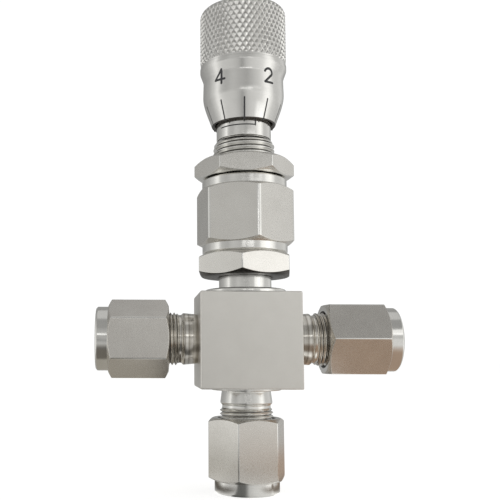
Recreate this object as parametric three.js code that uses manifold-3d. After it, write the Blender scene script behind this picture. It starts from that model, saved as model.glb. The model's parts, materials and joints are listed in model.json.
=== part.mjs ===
// A fine-metering needle valve of the cross pattern, in millimetres, +Z up.
//
// A square block carries four necks. The left, right and bottom necks are compression fittings for a
// 6.35 mm tube. The top neck holds the packing, and a union nut clamps the bonnet on it. A spindle
// turns in the bonnet and lifts a needle that doesn't turn; a graduated thimble turns with the spindle
// and reads against the sleeve on the bonnet.
//
// The origin is the centre of the bottom nut's outer face. Heights and reaches in the constants are
// measured from the crossing of the port axes, which lies PORT_REACH above the origin.

import * as THREE from "three";
import { mergeVertices } from "three/addons/utils/BufferGeometryUtils.js";
import Module from "manifold-3d";

const wasm = await Module();
wasm.setup();

// ---- Driving dimensions ----

const PORT_REACH = 31.3; // crossing to the outer face of every tube nut
const RUNNING_GAP = 0.06; // radial gap where one piece turns or slides in another
const TOUCH_GAP = 0.1; // axial gap between faces that bear on each other
const FACETS = 32; // sides of a full turn on large round pieces
const FINE_FACETS = 20; // sides of a full turn on small round pieces

const THREAD_FACETS = 18; // sides of one turn of a thread
const THREAD_CLEARANCE = 0.12; // radial gap between the crests of a screw and the bore of its nut
const COUNTERSINK = 0.4;
const FITTING_THREAD = { crest: 5.5, root: 5.05, pitch: 0.75 };
const BONNET_THREAD = { crest: 6.52, root: 5.97, pitch: 1 };

const TUBE_SOCKET = { radius: 3.225, floor: 15.2 };
const BLOCK = { width: 20.4, depth: 18.8, top: 9.4, bottom: -10.1, chamfer: 0.35 };
const TOP_BOSS = { radius: 8.5, height: 0.9 };
const BOTTOM_BOSS = { radius: 7.2, height: 0.45 };

// Profile of every neck, from the block outwards: a smooth shank, a relief groove and the thread.
const NECK = { foot: 5.05, rim: 5.4, shankEnd: 13.55, groove: 5, threadStart: 14.1, lip: 0.35 };
const SIDE_NECK_END = 24.5;
const TOP_NECK_END = 26.5;
const MOUTH_CONE = { depth: 2.9, floorRadius: 3.32, mouthRadius: 4.09 };

const TUBE_NUT = { acrossFlats: 14.3, inner: 16.2, shoulder: 28.75, collar: 6.65, hole: 3.32 };
const FERRULE_CHAMBER = { radius: 4.95, start: 25, coneStart: 27.25, coneEnd: 28.5 };

const BONNET_HEX = 18.5; // across flats of the lock nut, the union nut and the panel nut
const LOCK_NUT = { low: 13, high: 17.73, cornerAngle: -10.4 };
const UNION_NUT = { low: 17.83, hexLow: 19.6, hexHigh: 31.8, high: 33.66, collar: 8.97, cornerAngle: 8.6 };
const UNION_CHAMBER = { radius: 7.5, low: 26, high: 30.3, hole: 6.64 };
const PANEL_NUT = { low: 33.92, high: 37.95, cornerAngle: 24 };

const PACKING = { bore: 3.6, floor: 18, washer: 0.9, ring: 2 };
const GLAND = { nose: 3.5, flange: 5.2, flangeLow: 26.9, flangeHigh: 28 };
const BONNET = { flange: 7.35, low: 28.1, flangeHigh: 30.2, threadHigh: 42.35, spigot: 4.6, high: 52.8 };
const BONNET_BORE = { chamber: 3.9, ceiling: 36, guide: 3.06 };
const SLEEVE = { radius: 5.82, low: 42.45, high: 54 };

const NEEDLE = { radius: 1.6, top: 28.9, neck: 1.1, head: 1.9, headLow: 30.3, headHigh: 31.4 };
const NEEDLE_TIP = { coneTop: -3.02, shoulder: 0.72, end: -7, endRadius: 0.35 };
const SEAT = { chamber: 2.6, chamberTop: 4.5, coneTop: -3.2, orifice: 0.8, orificeLow: -8.5, outlet: 2.4 };
const NEEDLE_GUIDE = 1.72;
const RUN_BORE = 1.9;

const SPINDLE = { low: 29.4, collar: 3.6, collarHigh: 32, screw: 3, screwHigh: 53.8, stalk: 2, high: 68.8 };
const NEEDLE_SOCKET = { radius: 2.3, ceiling: 31.6 };
const RETAINER = { hole: 1.2, low: 29.45, high: 30.15 };

// Profile of the thimble's outside below the grip: a chamfered rim, a cone with a softened shoulder,
// a band that narrows a little upwards, and a flare that runs out into the grip's foot.
const THIMBLE = { rim: 6.67, low: 45.65, rimChamfer: 0.35, cone: 8.2, coneHigh: 49.5 };
const BAND = { radius: 8.7, low: 51.55, neck: 8.58, neckHeight: 55.75 };
const GRIP = { radius: 9.3, low: 57.65, high: 69.85, crown: 7.86, top: 71.3 };
const GRIP_GROOVE = { radius: 9.1, low: 58.5, high: 58.9 }; // below the knurl
const THIMBLE_BORE = { radius: 6.12, ceiling: 61.6 };
const SET_SCREW = { radius: 1.2, height: 64.9, inner: 2.1, outer: 8.2, key: 1.3, keyDepth: 1.6 };
const SET_SCREW_ANGLES = [120, 240]; // degrees round the grip from the front

const STEEL = { color: 0xbab7b1, roughness: 0.34, metalness: 1 };
const BRIGHT_STEEL = { color: 0xc9c7c3, roughness: 0.24, metalness: 1 };
const DARK_STEEL = { color: 0x77746f, roughness: 0.45, metalness: 1 };
const WARM_STEEL = { color: 0xada396, roughness: 0.4, metalness: 1 };
const PTFE = { color: 0xf1efe9, roughness: 0.55, metalness: 0 };

// ---- Geometry helpers ----

// A closed three.js geometry as a manifold-3d solid.
function solidOf(geometry) {
  const bare = geometry.clone();
  bare.deleteAttribute("normal");
  bare.deleteAttribute("uv");
  const merged = mergeVertices(bare, 1e-4);
  const corners = merged.index.array;
  const triVerts = [];
  for (let i = 0; i < corners.length; i += 3) {
    const [a, b, c] = corners.slice(i, i + 3);
    if (a !== b && b !== c && c !== a) triVerts.push(a, b, c);
  }
  const vertProperties = merged.attributes.position.array;
  return new wasm.Manifold(new wasm.Mesh({ numProp: 3, vertProperties, triVerts: new Uint32Array(triVerts) }));
}

function geometryOf(solid) {
  const { vertProperties, triVerts } = solid.getMesh();
  const geometry = new THREE.BufferGeometry();
  geometry.setAttribute("position", new THREE.BufferAttribute(vertProperties, 3));
  geometry.setIndex(new THREE.BufferAttribute(triVerts, 1));
  return geometry;
}

function placed(solid, matrix) {
  return solidOf(geometryOf(solid).applyMatrix4(matrix));
}

// The solid of revolution about Z of a profile of [radius, height] points. A profile that doesn't
// touch the axis closes on itself and makes a ring.
function revolve(profile, facets = FACETS) {
  const points = profile.map(([radius, height]) => new THREE.Vector2(radius, height));
  const isRing = points[0].x > 0;
  if (THREE.ShapeUtils.isClockWise(points)) points.reverse();
  if (isRing) points.push(points[0].clone());
  return solidOf(new THREE.LatheGeometry(points, facets).rotateX(Math.PI / 2));
}

function rod(radius, low, high, facets = FINE_FACETS) {
  const profile = [
    [0, low],
    [radius, low],
    [radius, high],
    [0, high],
  ];
  return revolve(profile, facets);
}

function ring(inner, outer, low, high, facets = FINE_FACETS) {
  const profile = [
    [inner, low],
    [outer, low],
    [outer, high],
    [inner, high],
  ];
  return revolve(profile, facets);
}

// A hexagonal prism round Z. The corner angle is in degrees from the front (-Y) towards +X.
function hexPrism(acrossFlats, low, high, cornerAngle) {
  const cornerRadius = acrossFlats / Math.sqrt(3);
  const outline = new THREE.Shape();
  for (let corner = 0; corner < 6; corner++) {
    const angle = THREE.MathUtils.degToRad(cornerAngle + 60 * corner);
    const x = cornerRadius * Math.sin(angle);
    const y = -cornerRadius * Math.cos(angle);
    if (corner === 0) outline.moveTo(x, y);
    else outline.lineTo(x, y);
  }
  const prism = new THREE.ExtrudeGeometry(outline, { depth: high - low, bevelEnabled: false });
  return solidOf(prism.translate(0, 0, low));
}

// A hexagonal prism with its corners turned down at the ends that are chamfered.
function chamferedHex(acrossFlats, low, high, cornerAngle, { atLow, atHigh }) {
  const flat = 0.485 * acrossFlats;
  const corner = acrossFlats / Math.sqrt(3) + 0.1;
  const rise = (corner - flat) * Math.tan(THREE.MathUtils.degToRad(28));
  const profile = [[0, low]];
  if (atLow) profile.push([flat, low], [corner, low + rise]);
  else profile.push([corner, low]);
  if (atHigh) profile.push([corner, high - rise], [flat, high]);
  else profile.push([corner, high]);
  profile.push([0, high]);
  return hexPrism(acrossFlats, low, high, cornerAngle).intersect(revolve(profile));
}

// A box centred on Z with every edge chamfered: the common part of three chamfered slabs.
function chamferedBox({ width, depth, top, bottom, chamfer }) {
  const height = top - bottom;
  const slab = (across, along, thickness) => {
    const x = across / 2;
    const y = along / 2;
    const outline = new THREE.Shape([
      new THREE.Vector2(-x + chamfer, -y),
      new THREE.Vector2(x - chamfer, -y),
      new THREE.Vector2(x, -y + chamfer),
      new THREE.Vector2(x, y - chamfer),
      new THREE.Vector2(x - chamfer, y),
      new THREE.Vector2(-x + chamfer, y),
      new THREE.Vector2(-x, y - chamfer),
      new THREE.Vector2(-x, -y + chamfer),
    ]);
    const slabGeometry = new THREE.ExtrudeGeometry(outline, { depth: thickness, bevelEnabled: false });
    return slabGeometry.translate(0, 0, -thickness / 2);
  };
  const seenFromTop = solidOf(slab(width, depth, height));
  const seenFromFront = solidOf(slab(width, height, depth).rotateX(Math.PI / 2));
  const seenFromSide = solidOf(slab(height, depth, width).rotateY(Math.PI / 2));
  const centre = new THREE.Matrix4().makeTranslation(0, 0, (top + bottom) / 2);
  return placed(seenFromTop.intersect(seenFromFront).intersect(seenFromSide), centre);
}

// A rod whose surface is a right-hand V thread that covers the heights from low to high.
function helicalRod({ crest, root, pitch }, low, high) {
  const firstTurn = Math.floor(low / pitch) - 1;
  const turns = Math.ceil(high / pitch) + 1 - firstTurn;
  const lastCrest = turns * THREAD_FACETS;
  const lastRoot = lastCrest - THREAD_FACETS;
  const positions = [];
  const addPoint = (radius, step, lift) => {
    const turn = step / THREAD_FACETS;
    const angle = 2 * Math.PI * turn;
    const height = (firstTurn + turn + lift) * pitch;
    positions.push(radius * Math.cos(angle), radius * Math.sin(angle), height);
    return positions.length / 3 - 1;
  };
  const crests = [];
  for (let step = 0; step <= lastCrest; step++) crests.push(addPoint(crest, step, 0));
  const roots = [];
  for (let step = 0; step <= lastRoot; step++) roots.push(addPoint(root, step, 0.5));
  const triangles = [];
  const addStrip = (lower, upper) => {
    for (let i = 0; i + 1 < lower.length; i++) {
      triangles.push(lower[i], lower[i + 1], upper[i + 1]);
      triangles.push(lower[i], upper[i + 1], upper[i]);
    }
  };
  addStrip(crests.slice(0, lastRoot + 1), roots);
  addStrip(roots, crests.slice(THREAD_FACETS));
  const addCap = (rim, turn) => {
    const centre = addPoint(0, 0, turn);
    rim.forEach((corner, i) => triangles.push(centre, rim[(i + 1) % rim.length], corner));
  };
  addCap([...crests.slice(0, THREAD_FACETS + 1), roots[0]], 0);
  addCap([crests[lastRoot], roots[lastRoot], ...crests.slice(lastRoot + 1).reverse()], turns);
  const surface = new THREE.BufferGeometry();
  surface.setAttribute("position", new THREE.Float32BufferAttribute(positions, 3));
  surface.setIndex(triangles);
  return solidOf(surface);
}

// The external thread between two heights, with a lead-in chamfer at both ends.
function externalThread(thread, low, high) {
  const { crest, root } = thread;
  const clear = crest + 0.3;
  const leadIn = clear - root;
  const profile = [
    [0, low],
    [root, low],
    [clear, low + leadIn],
    [clear, high - leadIn],
    [root, high],
    [0, high],
  ];
  return helicalRod(thread, low, high).intersect(revolve(profile, THREAD_FACETS));
}

// What is bored out of a nut between two heights, with a countersink at both mouths. The hole clears
// the crests of its screw: the internal thread form is left out.
function nutHole({ crest }, low, high) {
  const radius = crest + THREAD_CLEARANCE;
  const mouth = radius + COUNTERSINK;
  return revolve([
    [0, low - 1],
    [mouth, low - 1],
    [mouth, low],
    [radius, low + COUNTERSINK],
    [radius, high - COUNTERSINK],
    [mouth, high],
    [mouth, high + 1],
    [0, high + 1],
  ]);
}

function namedMesh(name, solid, finish) {
  const material = new THREE.MeshStandardMaterial({ ...finish, flatShading: true });
  const mesh = new THREE.Mesh(geometryOf(solid), material);
  mesh.name = name;
  return mesh;
}

// ---- Ports: each one's own frame has +Z outwards along the tube ----

const PORTS = {
  left: { turn: new THREE.Euler(0, -Math.PI / 2, 0), nutCornerAngle: 30, nutFinish: WARM_STEEL },
  right: { turn: new THREE.Euler(0, Math.PI / 2, 0), nutCornerAngle: 0, nutFinish: WARM_STEEL },
  bottom: { turn: new THREE.Euler(Math.PI, 0, 0), nutCornerAngle: 18.9, nutFinish: STEEL },
};

// ---- The block with its four necks ----

// A neck seen from its own frame, starting inside the block.
function sideNeck() {
  const root = 4;
  const shank = revolve([
    [0, root],
    [NECK.foot, root],
    [NECK.foot, BLOCK.top],
    [NECK.rim, NECK.shankEnd - NECK.lip],
    [NECK.groove, NECK.shankEnd],
    [NECK.groove, NECK.threadStart + NECK.lip],
    [0, NECK.threadStart + NECK.lip],
  ]);
  return shank.add(externalThread(FITTING_THREAD, NECK.threadStart, SIDE_NECK_END));
}

// The top neck is plain: its thread is hidden in the lock nut and the union nut.
function topNeck() {
  const { crest } = FITTING_THREAD;
  return revolve([
    [0, 0],
    [crest, 0],
    [crest, TOP_NECK_END - NECK.lip],
    [crest - NECK.lip, TOP_NECK_END],
    [0, TOP_NECK_END],
  ]);
}

// What is bored out of a fitting's neck: the ferrule's cone and the tube's socket.
function tubeSocket() {
  const end = SIDE_NECK_END;
  const overrun = 1;
  const slope = (MOUTH_CONE.mouthRadius - MOUTH_CONE.floorRadius) / MOUTH_CONE.depth;
  return revolve(
    [
      [0, TUBE_SOCKET.floor],
      [TUBE_SOCKET.radius, TUBE_SOCKET.floor],
      [TUBE_SOCKET.radius, end - MOUTH_CONE.depth],
      [MOUTH_CONE.floorRadius, end - MOUTH_CONE.depth],
      [MOUTH_CONE.mouthRadius + slope * overrun, end + overrun],
      [0, end + overrun],
    ],
    FINE_FACETS,
  );
}

// The upright passage: packing bore, needle guide, chamber, seat cone, orifice and outlet.
function uprightPassage() {
  const coneEnd = SEAT.coneTop - (SEAT.chamber - SEAT.orifice);
  return revolve(
    [
      [0, TOP_NECK_END + 1],
      [PACKING.bore, TOP_NECK_END + 1],
      [PACKING.bore, PACKING.floor],
      [NEEDLE_GUIDE, PACKING.floor],
      [NEEDLE_GUIDE, SEAT.chamberTop],
      [SEAT.chamber, SEAT.chamberTop],
      [SEAT.chamber, SEAT.coneTop],
      [SEAT.orifice, coneEnd],
      [SEAT.orifice, SEAT.orificeLow],
      [SEAT.outlet, SEAT.orificeLow - 1],
      [SEAT.outlet, -TUBE_SOCKET.floor - 1],
      [0, -TUBE_SOCKET.floor - 1],
    ],
    FINE_FACETS,
  );
}

function bodyBlock() {
  let block = chamferedBox(BLOCK);
  block = block.add(rod(TOP_BOSS.radius, 0, BLOCK.top + TOP_BOSS.height, FACETS));
  block = block.add(rod(BOTTOM_BOSS.radius, BLOCK.bottom - BOTTOM_BOSS.height, 0, FACETS));
  block = block.add(topNeck());
  let passages = uprightPassage();
  for (const { turn } of Object.values(PORTS)) {
    const outwards = new THREE.Matrix4().makeRotationFromEuler(turn);
    block = block.add(placed(sideNeck(), outwards));
    passages = passages.add(placed(tubeSocket(), outwards));
  }
  const alongRun = new THREE.Matrix4().makeRotationY(Math.PI / 2);
  const run = rod(RUN_BORE, -TUBE_SOCKET.floor - 1, TUBE_SOCKET.floor + 1);
  return block.subtract(passages.add(placed(run, alongRun)));
}

// ---- Tube fitting: nut, front ferrule and rear ferrule, in the port's frame ----

function tubeNut(cornerAngle) {
  const { acrossFlats, inner, shoulder, collar, hole } = TUBE_NUT;
  const { radius, start, coneStart, coneEnd } = FERRULE_CHAMBER;
  const hex = chamferedHex(acrossFlats, inner, shoulder, cornerAngle, { atLow: true, atHigh: true });
  const rimChamfer = 0.35;
  const turnedEnd = revolve([
    [0, shoulder - 0.5],
    [collar, shoulder - 0.5],
    [collar, PORT_REACH - rimChamfer],
    [collar - rimChamfer, PORT_REACH],
    [0, PORT_REACH],
  ]);
  const bored = revolve([
    [0, start - 0.5],
    [radius, start - 0.5],
    [radius, coneStart],
    [hole, coneEnd],
    [hole, PORT_REACH - rimChamfer],
    [hole + rimChamfer, PORT_REACH],
    [hole + rimChamfer, PORT_REACH + 1],
    [0, PORT_REACH + 1],
  ]);
  return hex.add(turnedEnd).subtract(nutHole(FITTING_THREAD, inner, start)).subtract(bored);
}

function frontFerrule() {
  return revolve(
    [
      [TUBE_SOCKET.radius, 22.4],
      [3.45, 22.4],
      [4.2, 25.2],
      [4.7, 25.5],
      [4.7, 26.2],
      [4.1, 26.3],
      [3.6, 25.7],
      [TUBE_SOCKET.radius, 25.7],
    ],
    FINE_FACETS,
  );
}

function rearFerrule() {
  return revolve(
    [
      [TUBE_SOCKET.radius, 25.8],
      [3.45, 25.8],
      [3.85, 26.4],
      [4.6, 26.4],
      [4.6, 27.3],
      [4.05, 27.9],
      [TUBE_SOCKET.radius, 27.9],
    ],
    FINE_FACETS,
  );
}

function portFitting(side, { turn, nutCornerAngle, nutFinish }) {
  const fitting = new THREE.Group();
  fitting.rotation.copy(turn);
  fitting.add(namedMesh("tube_nut_" + side, tubeNut(nutCornerAngle), nutFinish));
  fitting.add(namedMesh("front_ferrule_" + side, frontFerrule(), BRIGHT_STEEL));
  fitting.add(namedMesh("rear_ferrule_" + side, rearFerrule(), BRIGHT_STEEL));
  return fitting;
}

// ---- Packing and bonnet ----

function packingStack() {
  const stack = new THREE.Group();
  const inner = NEEDLE.radius + RUNNING_GAP;
  const outer = PACKING.bore - RUNNING_GAP;
  let low = PACKING.floor + TOUCH_GAP;
  const addRing = (name, height, finish) => {
    stack.add(namedMesh(name, ring(inner, outer, low, low + height), finish));
    low += height + TOUCH_GAP;
  };
  addRing("packing_washer", PACKING.washer, BRIGHT_STEEL);
  addRing("packing_ring_lower", PACKING.ring, PTFE);
  addRing("packing_ring_upper", PACKING.ring, PTFE);
  const nose = ring(inner, GLAND.nose, low, GLAND.flangeHigh);
  const flange = ring(inner, GLAND.flange, GLAND.flangeLow, GLAND.flangeHigh);
  stack.add(namedMesh("packing_gland", nose.add(flange), BRIGHT_STEEL));
  return stack;
}

function lockNut() {
  const { low, high, cornerAngle } = LOCK_NUT;
  const hex = chamferedHex(BONNET_HEX, low, high, cornerAngle, { atLow: true, atHigh: true });
  return hex.subtract(nutHole(FITTING_THREAD, low, high));
}

function unionNut() {
  const { low, hexLow, hexHigh, high, collar, cornerAngle } = UNION_NUT;
  const hex = chamferedHex(BONNET_HEX, hexLow, hexHigh, cornerAngle, { atLow: true, atHigh: true });
  const edge = 0.3;
  const collars = revolve([
    [0, low],
    [collar - edge, low],
    [collar, low + edge],
    [collar, high - edge],
    [collar - edge, high],
    [0, high],
  ]);
  const chamber = revolve([
    [0, UNION_CHAMBER.low - 0.6],
    [FITTING_THREAD.crest, UNION_CHAMBER.low - 0.6],
    [UNION_CHAMBER.radius, UNION_CHAMBER.low],
    [UNION_CHAMBER.radius, UNION_CHAMBER.high],
    [UNION_CHAMBER.hole, UNION_CHAMBER.high],
    [UNION_CHAMBER.hole, high + 1],
    [0, high + 1],
  ]);
  return hex.add(collars).subtract(nutHole(FITTING_THREAD, low, UNION_CHAMBER.low)).subtract(chamber);
}

function bonnet() {
  const { flange, low, flangeHigh, threadHigh, spigot, high } = BONNET;
  const barrel = BONNET_THREAD.root - 0.2;
  const core = revolve([
    [0, low],
    [flange, low],
    [flange, flangeHigh],
    [barrel, flangeHigh],
    [barrel, threadHigh],
    [spigot, threadHigh],
    [spigot, high],
    [0, high],
  ]);
  const bore = revolve(
    [
      [0, low - 1],
      [BONNET_BORE.chamber, low - 1],
      [BONNET_BORE.chamber, BONNET_BORE.ceiling],
      [BONNET_BORE.guide, BONNET_BORE.ceiling],
      [BONNET_BORE.guide, high + 1],
      [0, high + 1],
    ],
    FACETS,
  );
  return core.add(externalThread(BONNET_THREAD, UNION_NUT.hexHigh, threadHigh)).subtract(bore);
}

function panelNut() {
  const { low, high, cornerAngle } = PANEL_NUT;
  const hex = chamferedHex(BONNET_HEX, low, high, cornerAngle, { atLow: true, atHigh: true });
  return hex.subtract(nutHole(BONNET_THREAD, low, high));
}

function graduatedSleeve() {
  return ring(BONNET.spigot + RUNNING_GAP, SLEEVE.radius, SLEEVE.low, SLEEVE.high, FACETS);
}

// ---- Needle, which slides without turning ----

function needle() {
  const { radius, top, neck, head, headLow, headHigh } = NEEDLE;
  const { coneTop, shoulder, end, endRadius } = NEEDLE_TIP;
  return revolve(
    [
      [0, end],
      [endRadius, end],
      [shoulder, coneTop - (radius - shoulder)],
      [radius, coneTop],
      [radius, top],
      [neck, top],
      [neck, headLow],
      [head, headLow],
      [head, headHigh],
      [0, headHigh],
    ],
    FINE_FACETS,
  );
}

// ---- Spindle and thimble, which turn together ----

function spindle() {
  const { low, collar, collarHigh, screw, screwHigh, stalk, high } = SPINDLE;
  const shaft = revolve(
    [
      [0, low],
      [collar, low],
      [collar, collarHigh],
      [screw, collarHigh],
      [screw, screwHigh],
      [stalk, screwHigh],
      [stalk, high],
      [0, high],
    ],
    FACETS,
  );
  return shaft.subtract(rod(NEEDLE_SOCKET.radius, low - 1, NEEDLE_SOCKET.ceiling));
}

function needleRetainer() {
  return ring(RETAINER.hole, NEEDLE_SOCKET.radius - RUNNING_GAP, RETAINER.low, RETAINER.high);
}

// A bore across the grip at one set screw's place.
function acrossGrip(radius, inner, outer, angle, facets) {
  const outwards = new THREE.Matrix4()
    .makeTranslation(0, 0, SET_SCREW.height)
    .multiply(new THREE.Matrix4().makeRotationZ(THREE.MathUtils.degToRad(angle)))
    .multiply(new THREE.Matrix4().makeRotationX(Math.PI / 2));
  return placed(rod(radius, inner, outer, facets), outwards);
}

function thimble() {
  const { rim, low, rimChamfer, cone, coneHigh } = THIMBLE;
  const outside = [
    [rim, low],
    [rim + rimChamfer, low + rimChamfer],
    [cone, coneHigh],
    [BAND.radius, BAND.low],
    [BAND.neck, BAND.neckHeight],
    [GRIP.radius, GRIP.low],
    [GRIP.radius, GRIP_GROOVE.low],
    [GRIP_GROOVE.radius, GRIP_GROOVE.low],
    [GRIP_GROOVE.radius, GRIP_GROOVE.high],
    [GRIP.radius, GRIP_GROOVE.high],
    [GRIP.radius, GRIP.high],
    [GRIP.crown, GRIP.top],
    [0, GRIP.top],
  ];
  const stalkBore = SPINDLE.stalk + RUNNING_GAP;
  const inside = [
    [0, SPINDLE.high + TOUCH_GAP],
    [stalkBore, SPINDLE.high + TOUCH_GAP],
    [stalkBore, THIMBLE_BORE.ceiling],
    [THIMBLE_BORE.radius, THIMBLE_BORE.ceiling],
    [THIMBLE_BORE.radius, low],
  ];
  let shell = revolve([...outside, ...inside]);
  for (const angle of SET_SCREW_ANGLES) {
    const holeRadius = SET_SCREW.radius + RUNNING_GAP;
    shell = shell.subtract(acrossGrip(holeRadius, SPINDLE.stalk, GRIP.radius + 1, angle));
  }
  return shell;
}

function setScrew(angle) {
  const { radius, inner, outer, key, keyDepth } = SET_SCREW;
  const keySocket = acrossGrip(key / Math.sqrt(3), outer - keyDepth, outer + 1, angle, 6);
  return acrossGrip(radius, inner, outer, angle).subtract(keySocket);
}

// ---- Assembly ----

const crossing = new THREE.Group();
crossing.position.z = PORT_REACH;

crossing.add(namedMesh("body_block", bodyBlock(), STEEL));
for (const [side, port] of Object.entries(PORTS)) crossing.add(portFitting(side, port));

crossing.add(packingStack());
crossing.add(namedMesh("lock_nut", lockNut(), STEEL));
crossing.add(namedMesh("union_nut", unionNut(), STEEL));
crossing.add(namedMesh("bonnet", bonnet(), STEEL));
crossing.add(namedMesh("panel_nut", panelNut(), STEEL));
crossing.add(namedMesh("graduated_sleeve", graduatedSleeve(), BRIGHT_STEEL));

crossing.add(namedMesh("needle", needle(), BRIGHT_STEEL));

crossing.add(namedMesh("spindle", spindle(), BRIGHT_STEEL));
crossing.add(namedMesh("needle_retainer", needleRetainer(), BRIGHT_STEEL));
crossing.add(namedMesh("thimble", thimble(), BRIGHT_STEEL));
SET_SCREW_ANGLES.forEach((angle, i) => {
  crossing.add(namedMesh("thimble_set_screw_" + (i + 1), setScrew(angle), DARK_STEEL));
});

const needleValve = new THREE.Group();
needleValve.add(crossing);

export default needleValve;
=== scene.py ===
"""Looks of the needle valve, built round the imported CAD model.

Shapes are made in millimetres, in a frame whose origin is where the port axes cross and whose Z axis
is the valve's own. A port's pieces are made upright, with Z along the tube, and then turned into place.
Angles go round Z from the front (-Y) towards the right (+X). The finished meshes are in metres, in the
CAD model's frame.
"""

import json
import math

import bmesh
import bpy
import numpy as np
from mathutils import Matrix, Vector


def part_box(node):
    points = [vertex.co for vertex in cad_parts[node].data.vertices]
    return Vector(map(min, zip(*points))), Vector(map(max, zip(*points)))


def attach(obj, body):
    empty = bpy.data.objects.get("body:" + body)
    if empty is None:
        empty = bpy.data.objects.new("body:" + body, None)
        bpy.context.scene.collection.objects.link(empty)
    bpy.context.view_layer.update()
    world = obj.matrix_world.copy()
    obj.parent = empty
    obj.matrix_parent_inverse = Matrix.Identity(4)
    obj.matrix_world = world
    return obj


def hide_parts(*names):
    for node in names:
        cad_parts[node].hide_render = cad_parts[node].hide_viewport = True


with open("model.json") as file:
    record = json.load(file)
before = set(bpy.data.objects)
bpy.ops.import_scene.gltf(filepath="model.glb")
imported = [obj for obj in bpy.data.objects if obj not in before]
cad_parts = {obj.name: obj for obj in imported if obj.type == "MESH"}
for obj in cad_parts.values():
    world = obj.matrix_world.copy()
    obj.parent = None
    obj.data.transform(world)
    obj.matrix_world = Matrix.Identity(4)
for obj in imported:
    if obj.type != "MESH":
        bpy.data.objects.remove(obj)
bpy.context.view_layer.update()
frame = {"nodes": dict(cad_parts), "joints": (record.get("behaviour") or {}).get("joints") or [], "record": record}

# ---- Places and sizes, in millimetres from the crossing of the port axes ----

MM = 0.001
JOINTS = {joint["name"]: joint for joint in frame["joints"]}
CROSSING = Vector(JOINTS["knob_turn"]["pos_m"])


def span(node, axis=2):
    """The lowest and highest coordinate of a CAD node along one axis, from the crossing."""
    low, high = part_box(node)
    return (low[axis] - CROSSING[axis]) / MM, (high[axis] - CROSSING[axis]) / MM


PORTS = {
    "left": {"turn": Matrix.Rotation(-math.pi / 2, 4, "Y"), "corner": 30.0, "finish": "warm_nut_steel"},
    "right": {"turn": Matrix.Rotation(math.pi / 2, 4, "Y"), "corner": 0.0, "finish": "warm_nut_steel"},
    "bottom": {"turn": Matrix.Rotation(math.pi, 4, "X"), "corner": 18.9, "finish": "nut_steel"},
}
UPRIGHT = Matrix.Identity(4)

BLOCK_WIDTH, BLOCK_DEPTH = 20.4, span("body_block", 1)[1] * 2
BLOCK_LOW, BLOCK_HIGH = -10.1, 9.4
BLOCK_EDGE = 0.4
NECK_FOOT = 3.0  # where a neck's shell starts, inside the block
TOP_BOSS_RADIUS, TOP_BOSS_HEIGHT = 8.5, 0.9
BOTTOM_BOSS_RADIUS, BOTTOM_BOSS_HEIGHT = 7.2, 0.45

FITTING_THREAD = {"crest": 5.5, "root": 5.04, "pitch": 0.75}
BONNET_THREAD = {"crest": 6.52, "root": 5.95, "pitch": 1.0}
THREAD_ROWS = 12  # rows of points in one pitch
NECK_COLUMNS, BONNET_COLUMNS = 144, 160
THREAD_CLEARANCE = 0.12  # between a screw's crest and the bore round it

SHANK_FOOT, SHANK_RIM, SHANK_END = 5.05, 5.4, 13.55
GROOVE_RADIUS, FITTING_THREAD_LOW, FITTING_END, FITTING_TIP_RADIUS = 5.0, 14.1, 24.5, 4.6
SOCKET_RADIUS, SOCKET_FLOOR, MOUTH_RADIUS, MOUTH_DEPTH = 3.225, 15.2, 4.09, 2.9
RUN_RADIUS, RUN_FLOOR = 1.9, 5.0

TUBE_NUT_LOW, TUBE_NUT_HIGH = (-v for v in reversed(span("tube_nut_bottom")))
TUBE_NUT_FLATS, TUBE_NUT_SHOULDER, TUBE_NUT_COLLAR, TUBE_HOLE = 14.3, 28.75, 6.65, 3.32

NUT_FILLET, UNION_FILLET = 0.35, 0.9  # rounding of the corners between the flats
HEX_END_SHARE = 0.485  # radius of a nut's end face, as a share of the width across its flats
HEX_COLLAR_SHARE = 0.48  # what lies nearer to the axis than this is turned, not milled
HEX_CHAMFER = math.radians(28)
COUNTERSINK = 0.4

BONNET_FLATS = 18.5
UNION_LOW, UNION_HIGH = span("union_nut")
UNION_HEX_LOW, UNION_HEX_HIGH, UNION_COLLAR = 19.6, 31.8, 8.97
LOCK_CORNER, UNION_CORNER, PANEL_CORNER = -10.4, 8.6, 25.0  # angle of one corner of each hexagon
BONNET_HIGH = 42.35
SLEEVE_LOW, SLEEVE_HIGH = span("graduated_sleeve")
SLEEVE_RADIUS = span("graduated_sleeve", 0)[1]
SLEEVE_ZERO_HEIGHT, SLEEVE_INDEX = 44.6, 17.4  # height of the level line, angle of the upright one

THIMBLE_LOW, THIMBLE_HIGH = span("thimble")
GRIP_RADIUS = span("thimble", 0)[1]
THIMBLE_RIM, THIMBLE_BORE = 6.67, 6.12
GRIP_LOW, KNURL_LOW, KNURL_HIGH, CROWN_RADIUS = 57.65, 59.0, 69.85, 7.86

# ---- Mesh building ----

COLUMNS_PER_FLAT, COLUMNS_PER_CORNER = 20, 6
ARC_STEPS = 5  # steps of the curve that rounds an outline's corner
SHARP_DEGREES = 32.0  # edges that turn by more than this are shaded sharp


def circle(count):
    """Angles of the columns of a round piece."""
    return np.arange(count) * (2 * math.pi / count)


def hexagon(across_flats, corner_degrees, fillet):
    """Columns of a hexagon with rounded corners: their angles and the radius at each."""
    flat = across_flats / 2
    centre = (flat - fillet) / math.cos(math.pi / 6)
    half = math.atan2(fillet / 2, centre + fillet * math.cos(math.pi / 6))
    corner = np.linspace(-half, half, COLUMNS_PER_CORNER, endpoint=False)
    side = np.linspace(half, math.pi / 3 - half, COLUMNS_PER_FLAT, endpoint=False)
    sector = np.concatenate([corner, side])
    corner_radius = centre * np.cos(corner) + np.sqrt(fillet**2 - (centre * np.sin(corner)) ** 2)
    side_radius = flat / np.cos(side - math.pi / 6)
    angles = [sector + math.radians(corner_degrees) + k * math.pi / 3 for k in range(6)]
    return np.concatenate(angles), np.tile(np.concatenate([corner_radius, side_radius]), 6)


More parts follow.
